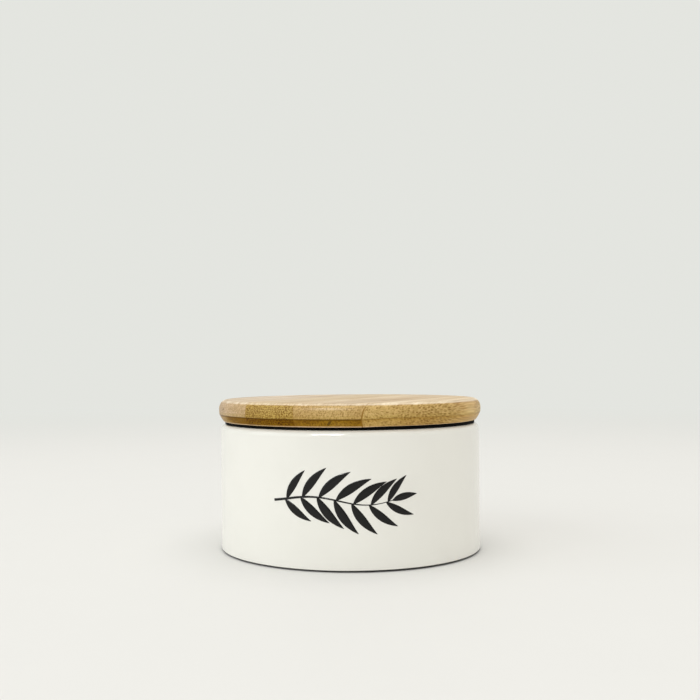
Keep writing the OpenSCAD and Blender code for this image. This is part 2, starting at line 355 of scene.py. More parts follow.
# A node of the cane: a bowed line across one strip, in a darker band. Sizes in millimetres.
def caneNode(tree, across, along, color, node):
    middle, half, place, bow = [v * mm for v in node]
    off = calc(tree, "SUBTRACT", across, middle)
    bend = times(tree, times(tree, off, off), bow / (half * half))
    waver = noiseTexture(tree, addNode(tree, "CombineXYZ", {"X": across}).outputs[0], 420.0, 2.0)
    away = calc(tree, "ADD", calc(tree, "SUBTRACT", along, place), bend)
    away = calc(tree, "ADD", away, times(tree, calc(tree, "SUBTRACT", waver, 0.5), 0.0016))
    inside = band(tree, off, 0.0, half - 0.0003, 0.0002)
    swell = times(tree, band(tree, away, 0.0, 0.0008, 0.0032), inside)
    line = times(tree, band(tree, away, 0.0, 0.00012, 0.0005), inside)
    color = tint(tree, times(tree, swell, 0.5), color, (0.80, 0.67, 0.50))
    return tint(tree, times(tree, line, 0.6), color, (0.60, 0.42, 0.24))


# Smears make a finish a little rougher.
def smeared(tree, rough, marks, amount):
    return calc(tree, "ADD", rough, times(tree, marks["Smear"], amount))


def bambooMaterial(name, turn, nodes, width=None):
    made, tree, shader, where = newMaterial(name)
    plain = axes(tree, grainAxes(tree, where, turn))
    mark = repeatedStrips(tree, plain["X"], width) if width else writtenStrips(tree)
    offset = addNode(tree, "CombineXYZ", {"X": 0.0, "Y": mark["Shift"], "Z": mark["Shift"]}).outputs[0]
    across, side = acrossFibre(tree, turn)
    fibre = useGroup(tree, bambooFibre, {
        "Vector": grainAxes(tree, where, turn, offset), "Across": across,
        "Tone": mark["Tone"], "Coarse": mark["Coarse"], "Side": side,
    })
    marks = useGroup(tree, handling, {"Vector": where, "Size": 0.025, "Dust": 0.2})
    color = tint(tree, mark["Shade"], fibre["Color"], (0.84, 0.82, 0.80))
    for node in nodes:
        color = caneNode(tree, plain["X"], plain["Y"], color, node)
    return made, tree, shader, where, mark, fibre, marks, color


# The board's marks, with painted shade on the chamfer, a painted shadow line at the crease and a
# painted highlight on the top round. Heights and places along X are in millimetres.
boardLook = {
    "chamferShadeLow": (53.2, 53.45),     # where the chamfer's painted shade begins
    "chamferShadeLeft": (-52.0, -44.0),   # where it fades, at the far left
    # Tones of the painted shade on the chamfer.
    "chamferShadeTones": (
        (0.0, (1.0, 1.0, 1.0)),
        (0.27, (0.85, 0.77, 0.49)),
        (0.75, (0.56, 0.44, 0.065)),
        (1.0, (0.42, 0.29, 0.015)),
    ),
    "toasted": (0.94, 0.93, 0.76),
    # The painted shadow line along the crease.
    "creaseShadowLine": (0.09, 0.037, 0.0005),
    "creaseShadowRight": (8.0, 32.0),       # where the crease's painted shadow line grows fainter
    # Painted highlight on the rounded top edge.
    "edgeHighlight": (0.92, 0.83, 0.66),
    "edgeHighlightRight": (-45.0, 20.0),   # where the painted highlight on the top round grows paler
    "lip": (0.80, 0.56, 0.36),      # the rounded foot of the edge
    "lipLow": (52.96, 53.01),
    "lipRight": (-32.0, -18.0),     # where the lip grows darker
    "glue": (0.27, 0.13, 0.012),
    "knot": (0.085, 0.04, 0.003),
}


# Painted shade on the chamfer below the crease, darkest just under it, with a painted shadow line along
# the crease and a toasted stretch above.
# Distances from the crease are in metres.
def shadeChamfer(tree, color, chamferShading, where):
    look = boardLook
    right, _, height = axes(tree, where)
    crease = lid["crease"][1] * mm
    lift = fade(tree, right, lid["wider"], 0.0, lid["creaseLift"] * mm)
    level = calc(tree, "SUBTRACT", height, lift)
    under = remap(tree, level, crease + 0.0001, crease - 0.0001)
    above = fade(tree, height, look["chamferShadeLow"])
    # Painted shade on the chamfer below the crease, by strip, lighter at the far left.
    chamferShade = times(tree, times(tree, under, above), chamferShading)
    chamferShade = times(tree, chamferShade, fade(tree, right, look["chamferShadeLeft"], 0.35, 1.0))
    shadeWander = streaks(tree, where, (170, 170, 500), 3.0, 0.6)
    chamferDark = times(tree, chamferShade, remap(tree, shadeWander, 0.3, 0.65, 0.86, 1.1))
    chamferDark = times(tree, chamferDark, remap(tree, level, crease - 0.0026, crease - 0.0004, 0.85, 1.08))
    # Painted shade just under the crease, strongest where the chamfer's painted shade is light.
    creaseShade = times(tree, remap(tree, level, crease - 0.0016, crease - 0.0002), under)
    creaseShade = times(tree, creaseShade, remap(tree, chamferShading, 0.1, 0.9, 0.12, 0.0))
    chamferShadeTones = ramp(tree, calc(tree, "ADD", chamferDark, creaseShade), *look["chamferShadeTones"])
    color = tint(tree, 1.0, color, chamferShadeTones)
    toasted = times(tree, remap(tree, level, crease + 0.0019, crease + 0.0003), invert(tree, under))
    color = tint(tree, toasted, color, look["toasted"])
    # Painted shadow line along the crease.
    line = times(tree, band(tree, level, crease - 0.00014, 0.0002, 0.0002), 0.66)
    line = times(tree, line, remap(tree, chamferShading, 0.0, 0.7, 0.35, 1.0))
    line = times(tree, line, fade(tree, right, look["creaseShadowRight"], 1.0, 0.45))
    return mixColor(tree, line, color, look["creaseShadowLine"]), chamferShade, above


def glueJoints(tree, color, where, seen):
    for joint, amount in enumerate(lid["glue"]):
        place, normal = jointPlane(joint)
        away = vectorCalc(tree, "DOT_PRODUCT", vectorCalc(tree, "SUBTRACT", where, place), normal)
        glue = times(tree, band(tree, away, 0.0, 0.0001, 0.0002), amount)
        color = mixColor(tree, times(tree, glue, seen), color, boardLook["glue"])
    return color


def markKnots(tree, color, where):
    for knot in lid["knots"]:
        away = vectorCalc(tree, "SUBTRACT", where, [v * mm for v in knot["place"]])
        lean = turned(tree, away, math.radians(knot["lean"]), "Y_AXIS")
        shape = vectorCalc(tree, "MULTIPLY", lean, [1 / (v * mm) for v in knot["size"]])
        reach = vectorCalc(tree, "LENGTH", shape)
        color = mixColor(tree, remap(tree, reach, 1.0, 0.4, 0.0, 0.8), color, boardLook["knot"])
    return color


def boardMaterial():
    look = boardLook
    turn = math.radians(-lid["grain"])
    found = bambooMaterial("bamboo board", turn, lid["nodes"])
    made, tree, shader, where, mark, fibre, marks, color = found
    right, _, height = axes(tree, where)
    color, chamferShade, above = shadeChamfer(tree, color, mark["ChamferShade"], where)
    upward = axes(tree, addNode(tree, "TexCoord").outputs["Normal"])["Z"]
    # Painted highlight on the rounded top edge, paler to the right.
    edgeHighlight = fade(tree, right, look["edgeHighlightRight"], 0.22, 0.42)
    edgeHighlight = times(tree, band(tree, upward, 0.86, 0.05, 0.1), edgeHighlight)
    color = mixColor(tree, edgeHighlight, color, look["edgeHighlight"])
    lip = times(tree, invert(tree, above), fade(tree, right, look["lipRight"], 0.3, 0.7))
    lip = times(tree, lip, fade(tree, height, look["lipLow"]))
    color = mixColor(tree, lip, color, look["lip"])
    color = glueJoints(tree, color, where, remap(tree, upward, 0.25, 0.6, 1.0, 0.4))
    color = markKnots(tree, color, where)
    plug(tree, shader, {
        "Base Color": color,
        "Roughness": smeared(tree, remap(tree, fibre["Dark"], 0.0, 1.0, 0.4, 0.6), marks, 0.06),
        "Normal": bump(tree, fibre["Height"], 0.0001, 0.6),
        "Specular IOR Level": 0.04,
        "Coat Weight": times(tree, invert(tree, chamferShade), 0.3),
        "Coat Roughness": 0.32,
    })
    return made


def plugMaterial():
    turn = math.radians(-lid["grain"])
    found = bambooMaterial("bamboo plug", turn, plugDisc["nodes"], plugDisc["strip"] * mm)
    made, tree, shader, _, mark, fibre, marks, color = found
    plug(tree, shader, {
        "Base Color": mixColor(tree, mark["Glue"], color, plugDisc["glueColor"]),
        "Roughness": smeared(tree, remap(tree, fibre["Dark"], 0.0, 1.0, 0.46, 0.62), marks, 0.06),
        "Normal": bump(tree, fibre["Height"], 0.0001, 0.7),
        "Specular IOR Level": 0.04,
        "Coat Weight": times(tree, marks["Smear"], 0.2),
        "Coat Roughness": 0.4,
    })
    return made


# Black and matt. The flange's rim, which shows as the line under the lid, is darker still: painted
# shade for the gap under the lid.
siliconeLook = {
    "plain": (0.008, 0.008, 0.0085),
    "rim": (0.0005, 0.0005, 0.0005),
    "shadedRimFrom": (51.7, 51.9),        # radius
    "dust": (0.07, 0.068, 0.065),
}


def siliconeMaterial():
    look = siliconeLook
    made, tree, shader, where = newMaterial("silicone")
    marks = useGroup(tree, handling, {"Vector": where, "Size": 0.012, "Dust": 0.8})
    radius = vectorCalc(tree, "LENGTH", vectorCalc(tree, "MULTIPLY", where, (1, 1, 0)))
    # Painted shade: the flange's outer rim is darker than the rest of the seal.
    rim = fade(tree, radius, look["shadedRimFrom"])
    color = mixColor(tree, rim, look["plain"], look["rim"])
    color = mixColor(tree, marks["Specks"], color, look["dust"])
    rough = remap(tree, marks["Smear"], 0.0, 1.0, 0.38, 0.5)
    rough = calc(tree, "MAXIMUM", rough, times(tree, rim, 0.95))
    grain = noiseTexture(tree, where, 2400.0, 2.0)
    plug(tree, shader, {
        "Base Color": color, "Roughness": rough, "Specular IOR Level": 0.12,
        "Normal": bump(tree, grain, 0.00003, 0.6),
    })
    return made


# Steel: brushed along X for the leaves, which are rolled and pressed, and turned for the small parts.
steelLook = {
    "brushed": ((0.36, 0.355, 0.345), (0.60, 0.59, 0.575)),
    "turned": ((0.58, 0.57, 0.55), (0.68, 0.67, 0.66)),
    "dust": (0.22, 0.2, 0.18),
    "recessDark": (0.03, 0.028, 0.025),
}


def brushedSteelMaterial():
    made, tree, shader, where = newMaterial("brushed steel")
    marks = useGroup(tree, handling, {"Vector": where, "Size": 0.008, "Dust": 0.5})
    lines = streaks(tree, where, (120, 5200, 5200), 3.0, 0.7)
    plug(tree, shader, {
        "Base Color": mixColor(tree, lines, *steelLook["brushed"]), "Metallic": 1.0,
        "Roughness": smeared(tree, remap(tree, lines, 0.3, 0.7, 0.22, 0.36), marks, 0.08),
        "Normal": bump(tree, lines, 0.00002, 0.5),
    })
    return made


# The screws' recesses are darker the deeper they go.
def turnedSteelMaterial(name, darkRecesses=False):
    made, tree, shader, where = newMaterial(name)
    marks = useGroup(tree, handling, {"Vector": where, "Size": 0.004, "Dust": 0.6})
    fine = streaks(tree, where, (2600, 700, 2600), 2.0, 0.6)
    color = mixColor(tree, fine, *steelLook["turned"])
    color = mixColor(tree, times(tree, marks["Specks"], 0.6), color, steelLook["dust"])
    if darkRecesses:
        face = screws["face"] * mm
        sunk = remap(tree, axes(tree, where)["Y"], face - 0.00006, face - 0.0004, 0.0, 0.85)
        color = mixColor(tree, sunk, color, steelLook["recessDark"])
    plug(tree, shader, {
        "Base Color": color, "Metallic": 1.0,
        "Roughness": smeared(tree, remap(tree, fine, 0.3, 0.7, 0.14, 0.22), marks, 0.1),
        "Normal": bump(tree, fine, 0.00001, 0.5),
    })
    return made


def enamelMaterial():
    made, tree, shader, where = newMaterial("black enamel")
    marks = useGroup(tree, handling, {"Vector": where, "Size": 0.01, "Dust": 0.3})
    pool = noiseTexture(tree, where, 420.0, 2.0)
    color = mixColor(tree, pool, sprig["ink"], sprig["inkWorn"])
    rough = remap(tree, marks["Smear"], 0.0, 1.0, 0.1, 0.2)
    plug(tree, shader, {
        "Base Color": color, "Roughness": rough, "Specular IOR Level": 0.25,
        "Normal": bump(tree, pool, 0.00004, 0.5),
    })
    return made


# Mesh helpers. Outlines are lists of (radius, height) in millimetres.
def arc(middle, radius, start, end, steps):
    turns = [math.radians(start + (end - start) * i / steps) for i in range(steps + 1)]
    return [(middle[0] + radius * math.cos(t), middle[1] + radius * math.sin(t)) for t in turns]


def between(a, b, steps):
    run, rise = b[0] - a[0], b[1] - a[1]
    return [(a[0] + run * i / steps, a[1] + rise * i / steps) for i in range(1, steps)]


def evenTurns(count):
    return [2 * math.pi * i / count for i in range(count)]


# Turns an outline round Z. One that starts and ends on the axis makes a solid, and any other a ring.
def revolve(outline, turns, shape=None):
    made = bmesh.new()
    rings = []
    for r, z in outline:
        if r == 0:
            rings.append([made.verts.new((0, 0, z * mm))])
            continue
        points = [Vector((r * math.cos(t), r * math.sin(t), z)) for t in turns]
        if shape:
            points = [shape(p) for p in points]
        rings.append([made.verts.new(p * mm) for p in points])
    pairs = list(zip(rings, rings[1:]))
    if outline[0][0] > 0:
        pairs.append((rings[-1], rings[0]))
    for low, high in pairs:
        for i in range(len(turns)):
            j = (i + 1) % len(turns)
            corners = [low[i % len(low)], low[j % len(low)], high[j % len(high)], high[i % len(high)]]
            made.faces.new(list(dict.fromkeys(corners)))
    bmesh.ops.recalc_face_normals(made, faces=made.faces)
    return made


# Closes up the slivers that a cut leaves.
def closeSlivers(made):
    bmesh.ops.dissolve_degenerate(made, edges=made.edges, dist=0.002 * mm)


def asMesh(name, made):
    mesh = bpy.data.meshes.new(name)
    made.to_mesh(mesh)
    made.free()
    return mesh


def finishPiece(name, made, body, slotName, material, *nodes, sharp=30):
    mesh = asMesh(name, made)
    mesh.shade_smooth()
    mesh.set_sharp_from_angle(angle=math.radians(sharp))
    mesh.materials.append(material)
    piece = addObject(name, mesh)
    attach(piece, body)
    if nodes:
        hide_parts(*nodes)
    return piece


def softMin(a, b, reach):
    blend = min(max(0.5 + 0.5 * (b - a) / reach, 0), 1)
    return b + (a - b) * blend - reach * blend * (1 - blend)


# Pot: slip-cast and glazed, with a flat behind the hinge and a land for the washers inside.
pot = {
    "radius": 54.0,
    "rim": 51.88,
    "wall": 5.0,
    "floor": 6.7,
    "recess": 2.5,
    "footWidth": 4.6,
    "footInset": 3.2,       # how far the bare ring stands back from the side
    "footStep": 0.68,       # and how far it lifts the glazed edge
    "footRound": 0.3,
    "footWider": (-9.0, 11.0),      # where, along X, the bare ring starts to be wider
    "footLift": 0.08,
    "footOut": 0.6,
    "footFade": 3.0,
    "footEase": 0.4,
    "footCorner": 0.15,
    "recessRound": 1.0,
    "shoulder": 2.4,
    "rimRound": 1.0,
    "cavityRound": 6.0,
    "flat": 52.207,         # Y of the flat behind the hinge
    "land": 47.99,          # and of the land where the washers sit, inside
    "landLow": 35.7,
    "landHigh": 46.7,
    "landEase": 0.3,
    "softEdge": 0.8,
    "ripple": 0.05,
    "rippleSize": 19.0,
    "rippleFade": 6.0,
    "boltHole": 1.9,
}


def potOutline():
    p = pot
    inner = p["radius"] - p["wall"]
    footOut = p["radius"] - p["footInset"]
    footIn = footOut - p["footWidth"]
    edgeLow = p["footStep"] + p["footRound"]
    shoulderLow = p["rim"] - p["shoulder"]
    wallLow = p["floor"] + p["cavityRound"]
    corner = inner - p["cavityRound"]
    edge = p["footEase"]
    sharp = p["footCorner"]
    hollow = footIn - p["recessRound"]
    outline = [(0, p["recess"])] + between((0, p["recess"]), (hollow, p["recess"]), 8)
    outline += arc((hollow, p["recess"] - p["recessRound"]), p["recessRound"], 90, 0, 6)
    outline += arc((footIn + edge, edge), edge, 180, 270, 4)
    outline += between((footIn + edge, 0), (footOut - sharp, 0), 4)
    outline += arc((footOut - sharp, sharp), sharp, -90, 0, 3) + [(footOut, p["footStep"])]
    outline += arc((p["radius"] - p["footRound"], edgeLow), p["footRound"], -90, 0, 10)
    outline += between((p["radius"], edgeLow), (p["radius"], shoulderLow), 26)
    outline += arc((p["radius"] - p["shoulder"], shoulderLow), p["shoulder"], 0, 90, 14)
    outline += arc((inner + p["rimRound"], p["rim"] - p["rimRound"]), p["rimRound"], 90, 180, 8)
    outline += between((inner, p["rim"] - p["rimRound"]), (inner, wallLow), 60)
    outline += arc((corner, wallLow), p["cavityRound"], 0, -90, 16)
    outline += between((corner, p["floor"]), (0, p["floor"]), 8) + [(0, p["floor"])]
    return outline


def smoothShare(value, limits):
    share = min(max((value - limits[0]) / (limits[1] - limits[0]), 0), 1)
    return share * share * (3 - 2 * share)


# Flattens the back, lets the glaze wander by a few hundredths on the outer wall, and widens the bare
# ring of the foot on the right.
def potShape(point):
    p = pot
    radius = math.hypot(point.x, point.y)
    inside = radius < p["radius"] - 0.6 * p["wall"]
    foot = p["radius"] - p["footInset"]
    low = p["footStep"] + p["footRound"]
    high = p["rim"] - p["shoulder"]
    wider = smoothShare(point.x, p["footWider"])
    if radius > foot - 0.01 and p["footStep"] - 0.01 < point.z:
        point.z += p["footLift"] * wider * max(1 - max(point.z - low, 0) / p["footFade"], 0)
    elif radius > foot - 0.2 and point.z < p["footStep"]:
        point *= 1 + p["footOut"] * wider / radius
    if not inside and low < point.z < high:
        share = min(point.z - low, high - point.z, p["rippleFade"]) / p["rippleFade"]
        swell = p["ripple"] * share * noise.noise(point / p["rippleSize"])
        point = Vector((point.x * (1 + swell / radius), point.y * (1 + swell / radius), point.z))
    if point.y > 0 and not inside:
        point.y = softMin(point.y, p["flat"], p["softEdge"])
    if point.y > 0 and inside and p["landLow"] - 1 < point.z < p["landHigh"] + 1:
        away = max(p["landLow"] - point.z, point.z - p["landHigh"], 0)
        point.y = softMin(point.y, p["land"] + 1.5 * away, p["landEase"])
    return point


# A round or six-sided rod, laid from front to back.
def rodCutter(radius, length, sides, x, y, z):
    made = bmesh.new()
    bmesh.ops.create_cone(made, cap_ends=True, segments=sides, radius1=radius * mm, radius2=radius * mm,
                          depth=length * mm)
    return addObject("cutter", asMesh("cutter", driveIn(made, x, y, z)))


def boltCutter(x):
    return rodCutter(pot["boltHole"], 20, 48, x, 50, leaves["potScrewZ"])


def cutAway(piece, cutters):
    for cutter in cutters:
        step = piece.modifiers.new("hole", "BOOLEAN")
        step.operation = "DIFFERENCE"
        step.solver = "EXACT"
        step.object = cutter
    bpy.context.view_layer.update()
    whole = piece.evaluated_get(bpy.context.evaluated_depsgraph_get())
    cut = bpy.data.meshes.new_from_object(whole)
    piece.modifiers.clear()
    made = bmesh.new()
    made.from_mesh(cut)
    closeSlivers(made)
    made.to_mesh(cut)
    made.free()
    old = piece.data
    piece.data = cut
    bpy.data.meshes.remove(old)
    for cutter in cutters:
        bpy.data.objects.remove(cutter)


# The mesh is denser at the back, where the flat and the holes are.
def makePot(material):
    dense = [math.radians(70 + 0.4 * i) for i in range(100)]
    wide = [math.radians(110 + 1.2 * i) for i in range(266)]
    made = revolve(potOutline(), dense + wide, potShape)
    piece = finishPiece("glazed_pot", made, "pot_body", "glaze", material, "pot")
    cutAway(piece, [boltCutter(side * leaves["screwX"]) for side in (-1, 1)])


# Lid: a board glued up from bamboo strips, turned round, eased on top and chamfered below.
lid = {
    "top": 61.85,
    "bottom": 53.0,
    "radius": 54.69,
    "widest": 58.2,
    "topRadius": 51.7,
    "fullness": 2.0,        # 2 is an ellipse, and more is squarer
    "crease": (54.57, 55.98),
    "wider": (4.0, 15.0),   # where, along X, the chamfer grows wider
    "creaseLift": 0.45,
    "footLift": 0.2,
    "foot": 52.9,
    "footRound": 0.25,
    "belly": 0.12,          # how far the chamfer bulges
    "back": 52.807,         # Y of the flat that the hinge's leaves lie against
    "backEase": 0.2,
    "grain": -29.0,         # degrees from the back towards the right
    "joints": (-39.2, -16.9, 6.3, 30.6),    # across the grain
    "lean": (0.0, 3.0, -2.0, 11.0),         # degrees
    "glue": (0.35, 0.3, 0.4, 0.9),          # how dark each joint is
    "seam": 0.04,
    "tones": (0.1, 0.0, 1.0, 0.5, 0.6),
    "drift": (0.0, 0.2, 0.0, 0.0, 0.0),     # how far the tone moves from one joint to the next
    "coarse": (0.5, 0.4, 1.0, 0.6, 0.75),
    "shade": (0.3, 0.0, 0.0, 0.35, 0.0),
    # How much painted shade each strip's chamfer takes.
    "chamferShade": (0.3, 1.15, 1.0, 0.8, 0.2),
    "nodes": ((-27.6, 11.6, 16.0, 1.3), (18.4, 12.1, -13.0, -1.5)),   # middle, half, place and bow
    "knots": (
        {"place": (-7.3, -53.2, 54.6), "size": (0.7, 3.0, 1.8), "lean": -34.0},
        {"place": (-50.7, -20.3, 58.6), "size": (0.75, 0.9, 0.62), "lean": 0.0},
    ),
}


def lidOutline():
    p = lid
    outline = [(0, p["bottom"])] + between((0, p["bottom"]), (p["foot"], p["bottom"]), 12)
    e = p["footRound"]
    outline += arc((p["foot"] - e, p["bottom"] + e), e, -90, -45, 3)
    low = outline[-1]
    crease = p["crease"]
    for i, (r, z) in enumerate(between(low, crease, 8)):
        outline.append((r + p["belly"] * math.sin(math.pi * (i + 1) / 8), z))
    outline += [(crease[0] - 0.06, crease[1] - 0.07), (crease[0], crease[1] + 0.06)]
    rise = p["widest"] - crease[1]
    for i in range(1, 6):
        t = i / 5
        outline.append((p["radius"] - (p["radius"] - crease[0]) * (1 - t) ** 2, crease[1] + rise * t))
    power = 2 / p["fullness"]
    for i in range(1, 17):
        t = math.radians(90 * i / 16)
        r = p["topRadius"] + (p["radius"] - p["topRadius"]) * max(math.cos(t), 0) ** power
        outline.append((r, p["widest"] + (p["top"] - p["widest"]) * math.sin(t) ** power))
    outline += between(outline[-1], (0, p["top"]), 14) + [(0, p["top"])]
    return outline


# The chamfer is a little wider on the right, where its crease and the board's foot are higher.
def lidShape(point):
    p = lid
    share = smoothShare(point.x, p["wider"])
    crease = p["crease"][1]
    if point.z < crease:
        up = (point.z - p["bottom"]) / (crease - p["bottom"])
        lift = p["footLift"] + (p["creaseLift"] - p["footLift"]) * up
    else:
        lift = p["creaseLift"] * max((p["widest"] - point.z) / (p["widest"] - crease), 0)
    if math.hypot(point.x, point.y) > p["foot"] - 1:
        point.z += lift * share
    return point


# Cuts one side of a plane away, closes the cut and eases its edge.
def sawOff(made, place, away, ease):
    everything = made.verts[:] + made.edges[:] + made.faces[:]
    cut = bmesh.ops.bisect_plane(made, geom=everything, plane_co=place, plane_no=away,
                                 clear_outer=True)["geom_cut"]
    rim = [e for e in cut if isinstance(e, bmesh.types.BMEdge) and e.is_boundary]
    bmesh.ops.contextual_create(made, geom=rim)
    bmesh.ops.bevel(made, geom=rim, offset=ease, segments=1, profile=0.5, affect="EDGES",
                    clamp_overlap=True)


def paintPoints(piece, values):
    for label, numbers in values.items():
        layer = piece.data.attributes.new("strip" + label, "FLOAT", "POINT")
        layer.data.foreach_set("value", numbers)


# A joint between two strips: a point on it, and its direction towards the next strip.
def jointPlane(joint):
    grain = math.radians(lid["grain"])
    lean = math.radians(lid["lean"][joint])
    across = Vector((math.cos(grain), math.sin(grain), 0))
    middle = Vector((0, 0, 0.5 * (lid["top"] + lid["bottom"]) * mm))
    normal = across * math.cos(lean) - Vector((0, 0, math.sin(lean)))
    return across * lid["joints"][joint] * mm + middle, normal


def makeLid(material):
    p = lid
    whole = bmesh.new()
    across = jointPlane(0)[0].xy.normalized() * -1
    sides = (-p["radius"],) + p["joints"] + (p["radius"],)
    marks = []
    tones = []
    for k in range(len(p["joints"]) + 1):
        strip = revolve(lidOutline(), evenTurns(300), lidShape)
        sawOff(strip, Vector((0, p["back"] * mm, 0)), Vector((0, 1, 0)), p["backEase"] * mm)
        for joint, sign in ((k - 1, -1), (k, 1)):
            if 0 <= joint < len(p["joints"]):
                place, normal = jointPlane(joint)
                sawOff(strip, place, normal * sign, p["seam"] * mm)
        closeSlivers(strip)
        mesh = asMesh("strip", strip)
        marks += [k] * len(mesh.vertices)
        for v in mesh.vertices:
            share = (v.co.xy.dot(across) / mm - sides[k]) / (sides[k + 1] - sides[k])
            tones.append(p["tones"][k] + p["drift"][k] * min(max(share, 0), 1))
        whole.from_mesh(mesh)
        bpy.data.meshes.remove(mesh)
    piece = finishPiece("lid_board_strips", whole, "lid_body", "bamboo", material, "lid_board",
                        sharp=24)
    paintPoints(piece, {
        "Tone": tones,
        "Coarse": [p["coarse"][k] for k in marks],
        "Shift": [stripShift * k for k in marks],
        "ChamferShade": [p["chamferShade"][k] for k in marks],
        "Shade": [p["shade"][k] for k in marks],
    })


# Plug: the disc under the board that holds the seal in its groove.
plugDisc = {
    "radius": 46.4,
    "groove": 45.2,
    "bottom": 49.0,
    "lip": 50.2,
    "top": 52.99,
    "ease": 0.35,
    "lipRound": 0.15,
    "strip": 23.0,
    "nodes": ((2.3, 11.5, 22.0, 1.3), (-20.7, 11.5, -15.0, -1.2)),
    "glueColor": (0.20, 0.11, 0.025),
}


def makePlug(material):
    p = plugDisc
    e = p["ease"]
    r = p["lipRound"]
    outline = [(0, p["bottom"])] + between((0, p["bottom"]), (p["radius"] - e, p["bottom"]), 10)
    outline += arc((p["radius"] - e, p["bottom"] + e), e, -90, 0, 5)
    outline += arc((p["radius"] - r, p["lip"] - r), r, 0, 90, 3)
    outline += [(p["groove"], p["lip"]), (p["groove"], p["top"])]
    outline += between((p["groove"], p["top"]), (0, p["top"]), 6) + [(0, p["top"])]
    finishPiece("lid_plug_disc", revolve(outline, evenTurns(240)), "lid_body", "bamboo", material,
                "lid_plug")


# Seal: a band in the groove, a flange under the board and a lip that reaches for the wall.
seal = {
    "inner": 45.25,
    "band": 47.2,
    "low": 50.25,
    "lip": 48.6,
    "lipLow": 50.8,
    "lipHigh": 51.4,
    "rim": 51.9,
    "land": 51.7,
    "flange": 52.12,
    "skirt": 51.84,         # the flange's lower face
    "top": 52.98,
    "edge": 0.05,
}


def makeSeal(material):
    p = seal
    e = p["edge"]
    corner = (p["band"], p["low"] + 0.1)
    outline = [(p["inner"], p["low"]), (p["band"] - 0.2, p["low"]), corner]
    outline += between(corner, (p["lip"], p["lipLow"]), 4)
    outline += arc((p["lip"] - 0.25, (p["lipLow"] + p["lipHigh"]) / 2), 0.28, -60, 80, 6)
    outline += arc((p["band"] + 0.5, p["rim"] - 0.35), 0.35, 190, 90, 5)
    outline += [(p["land"] - 0.1, p["rim"])]
    outline += arc((p["flange"] - e, p["skirt"] + e), e, -90, 0, 4)
    outline += arc((p["flange"] - e, p["top"] - e), e, 0, 90, 4)
    outline += [(p["inner"], p["top"])]
    finishPiece("seal_moulded", revolve(outline, evenTurns(300)), "lid_body", "silicone", material,
                "seal_ring", sharp=50)


# Hinge: two leaves of bent sheet on one pin, with a soft pad behind the pot's leaf.
leaves = {
    "width": 20.0,
    "sheet": 1.0,
    "corner": 1.5,
    "ease": 0.18,
    "axis": (55.007, 52.6),  # Y and Z of the pin
    "barrel": 2.2,
    "eye": 1.22,
    "wrap": 298,            # degrees of sheet rolled round the pin
    "potPlate": (36.0, 50.1),       # Z of the far and of the near edge
    "lidPlate": (60.8, 55.1),
    "sideKnuckle": (4.0, 10.0),
    "midKnuckle": 3.8,
    "stopWidth": 3.0,
    "stopReach": 4.0,
    "open": 105,
    "screwX": 6.0,
    "potScrewZ": 41.2,
    "lidScrewZ": 57.95,
    "sink": 0.98,           # how much smaller than the head a countersunk hole is at its back
    "clearance": 0.02,
    "padEase": 0.14,
}


# Outline of a leaf as (x, z), with its two far corners rounded.
def leafOutline(far, near, inset=0.0):
    up = 1 if near > far else -1
    half = leaves["width"] / 2 - inset
    r = leaves["corner"] - inset
    corner = [(half - r + x, far + up * (inset + r - z)) for x, z in arc((0, 0), r, 0, 90, 8)]
    return [(-half, near), (half, near)] + corner + [(-x, z) for x, z in reversed(corner)]


def loopEdges(made, loop):
    pairs = zip(loop, loop[1:] + loop[:1])
    return [made.edges.get(pair) or made.edges.new(pair) for pair in pairs]


def bridge(made, low, high):
    for i in range(len(low)):
        j = (i + 1) % len(low)
        made.faces.new([low[i], low[j], high[j], high[i]])


def skin(made, rings, ends=False):
    for low, high in zip(rings, rings[1:]):
        bridge(made, low, high)
    if ends:
        made.faces.new(rings[0])
        made.faces.new(rings[-1])


# A flat leaf in steps of (y, inset), with holes of (x, z, radius at the back, radius in front).
def makePlate(made, far, near, steps, holes):
    rims = []
    for y, inset in steps:
        rims.append([made.verts.new(Vector((x, y, z)) * mm) for x, z in leafOutline(far, near, inset)])
    skin(made, rims)
    caps = (loopEdges(made, rims[0]), loopEdges(made, rims[-1]))
    for x, z, rBack, rFront in holes:
        ends = []
        for cap, r, y in ((caps[0], rBack, steps[0][0]), (caps[1], rFront, steps[-1][0])):
            ring = [Vector((x + r * math.cos(t), y, z + r * math.sin(t))) for t in evenTurns(48)]
            ends.append([made.verts.new(v * mm) for v in ring])
            cap += loopEdges(made, ends[-1])
        bridge(made, *ends)
    for cap in caps:
        bmesh.ops.triangle_fill(made, use_beauty=True, edges=cap)


# Sheet rolled round the pin: it comes from below for the pot's leaf, and from above for the lid's.
def rollKnuckle(made, start, end, up):
    p = leaves
    y, z = p["axis"]
    e = 0.1
    rings = []
    for x, inset in ((start, e), (start + e, 0), (end - e, 0), (end, e)):
        outer = [(lid["back"] + inset, z - up * 3.0)]
        inner = [(lid["back"] + p["sheet"] - 0.02 - inset, z - up * 3.0)]
        for i in range(49):
            t = math.radians(180 - p["wrap"] * i / 48)
            out, eye = p["barrel"] - inset, p["eye"] + inset
            outer.append((y + out * math.cos(t), z + up * out * math.sin(t)))
            inner.append((y + eye * math.cos(t), z + up * eye * math.sin(t)))
        rings.append([made.verts.new(Vector((x, *point)) * mm) for point in outer + inner[::-1]])
    skin(made, rings)
    last = len(rings[0]) - 1
    for ring in (rings[0], rings[-1]):
        for i in range(49):
            made.faces.new([ring[i], ring[i + 1], ring[last - i - 1], ring[last - i]])


